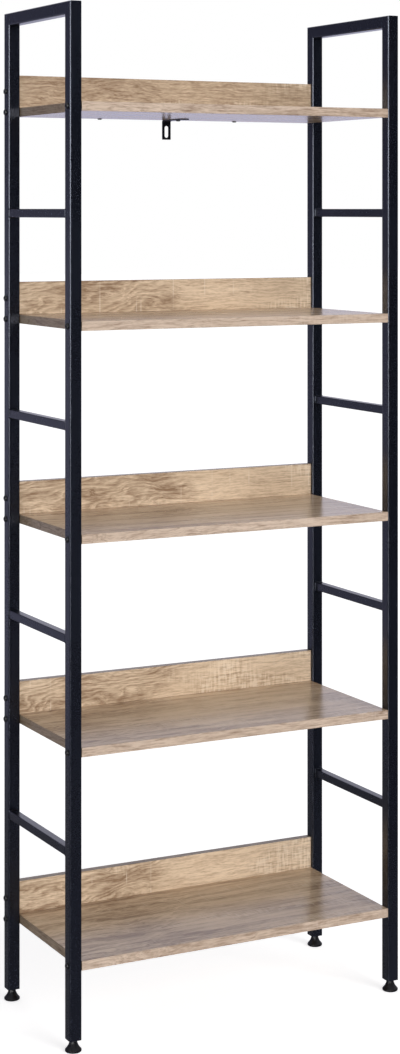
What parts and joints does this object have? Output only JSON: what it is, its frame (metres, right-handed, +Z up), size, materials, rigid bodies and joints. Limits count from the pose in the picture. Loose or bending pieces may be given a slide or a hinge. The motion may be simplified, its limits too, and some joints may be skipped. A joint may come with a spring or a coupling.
{
  "type": "industrial shelving unit",
  "caption": "Tall narrow shelving unit with black square-tube ladder side frames, oak-look shelves with low backboards, levelling feet and a slotted wall bracket.",
  "frame": {"origin": "on the floor, at the centre of the footprint", "axes": "+Z up, +X to the right seen from the open front, +Y to the rear, towards the wall"},
  "size_m": [0.653, 0.298, 1.76],
  "materials": {
    "black_powder_coat": "black satin powder coat with a fine orange peel on welded steel tube",
    "oak_laminate": "satin melamine laminate printed with light sawn oak, grain along the width, banded edges",
    "black_plastic": "moulded black plastic, satin",
    "black_fasteners": "black oxide steel, lightly oiled",
    "zinc_steel": "bright zinc plated steel"
  },
  "bodies": {
    "frame": {"left_front_post": "black_powder_coat", "left_front_foot_plug": "black_plastic", "left_rear_post": "black_powder_coat", "left_rear_foot_plug": "black_plastic", "right_front_post": "black_powder_coat", "right_front_foot_plug": "black_plastic", "right_rear_post": "black_powder_coat", "right_rear_foot_plug": "black_plastic", "left_top_rail": "black_powder_coat", "left_rung_1": "black_powder_coat", "left_rung_2": "black_powder_coat", "left_rung_3": "black_powder_coat", "left_rung_4": "black_powder_coat", "right_top_rail": "black_powder_coat", "right_rung_1": "black_powder_coat", "right_rung_2": "black_powder_coat", "right_rung_3": "black_powder_coat", "right_rung_4": "black_powder_coat", "shelf_1": "oak_laminate", "backboard_1": "oak_laminate", "shelf_bolts_1": "black_fasteners", "backboard_screws_1": "black_fasteners", "shelf_2": "oak_laminate", "backboard_2": "oak_laminate", "shelf_bolts_2": "black_fasteners", "backboard_screws_2": "black_fasteners", "shelf_3": "oak_laminate", "backboard_3": "oak_laminate", "shelf_bolts_3": "black_fasteners", "backboard_screws_3": "black_fasteners", "shelf_4": "oak_laminate", "backboard_4": "oak_laminate", "shelf_bolts_4": "black_fasteners", "backboard_screws_4": "black_fasteners", "shelf_5": "oak_laminate", "backboard_5": "oak_laminate", "shelf_bolts_5": "black_fasteners", "backboard_screws_5": "black_fasteners", "wall_bracket": "black_powder_coat", "bracket_screw": "black_fasteners"},
    "left_front_foot_base": {"left_front_foot_base": "black_plastic"},
    "left_front_foot_stud": {"left_front_foot_stud": "zinc_steel"},
    "left_rear_foot_base": {"left_rear_foot_base": "black_plastic"},
    "left_rear_foot_stud": {"left_rear_foot_stud": "zinc_steel"},
    "right_front_foot_base": {"right_front_foot_base": "black_plastic"},
    "right_front_foot_stud": {"right_front_foot_stud": "zinc_steel"},
    "right_rear_foot_base": {"right_rear_foot_base": "black_plastic"},
    "right_rear_foot_stud": {"right_rear_foot_stud": "zinc_steel"}
  },
  "joints": [
    {"name": "left_front_foot_height", "type": "slide", "parent": "frame", "child": "left_front_foot_base", "axis": [0, 0, -1], "range_m": [0, 0.01]},
    {"name": "left_front_foot_turn", "type": "hinge", "parent": "left_front_foot_base", "child": "left_front_foot_stud", "pos_m": [-0.3125, -0.135, 0.02], "axis": [0, 0, -1], "range_deg": [0, 2879]},
    {"name": "left_rear_foot_height", "type": "slide", "parent": "frame", "child": "left_rear_foot_base", "axis": [0, 0, -1], "range_m": [0, 0.01]},
    {"name": "left_rear_foot_turn", "type": "hinge", "parent": "left_rear_foot_base", "child": "left_rear_foot_stud", "pos_m": [-0.3125, 0.135, 0.02], "axis": [0, 0, -1], "range_deg": [0, 2879]},
    {"name": "right_front_foot_height", "type": "slide", "parent": "frame", "child": "right_front_foot_base", "axis": [0, 0, -1], "range_m": [0, 0.01]},
    {"name": "right_front_foot_turn", "type": "hinge", "parent": "right_front_foot_base", "child": "right_front_foot_stud", "pos_m": [0.3125, -0.135, 0.02], "axis": [0, 0, -1], "range_deg": [0, 2879]},
    {"name": "right_rear_foot_height", "type": "slide", "parent": "frame", "child": "right_rear_foot_base", "axis": [0, 0, -1], "range_m": [0, 0.01]},
    {"name": "right_rear_foot_turn", "type": "hinge", "parent": "right_rear_foot_base", "child": "right_rear_foot_stud", "pos_m": [0.3125, 0.135, 0.02], "axis": [0, 0, -1], "range_deg": [0, 2879]}
  ],
  "couplings": [
    {"joint": "left_front_foot_turn", "follows": "left_front_foot_height", "rad_per_m": 5026.5},
    {"joint": "left_rear_foot_turn", "follows": "left_rear_foot_height", "rad_per_m": 5026.5},
    {"joint": "right_front_foot_turn", "follows": "right_front_foot_height", "rad_per_m": 5026.5},
    {"joint": "right_rear_foot_turn", "follows": "right_rear_foot_height", "rad_per_m": 5026.5}
  ]
}
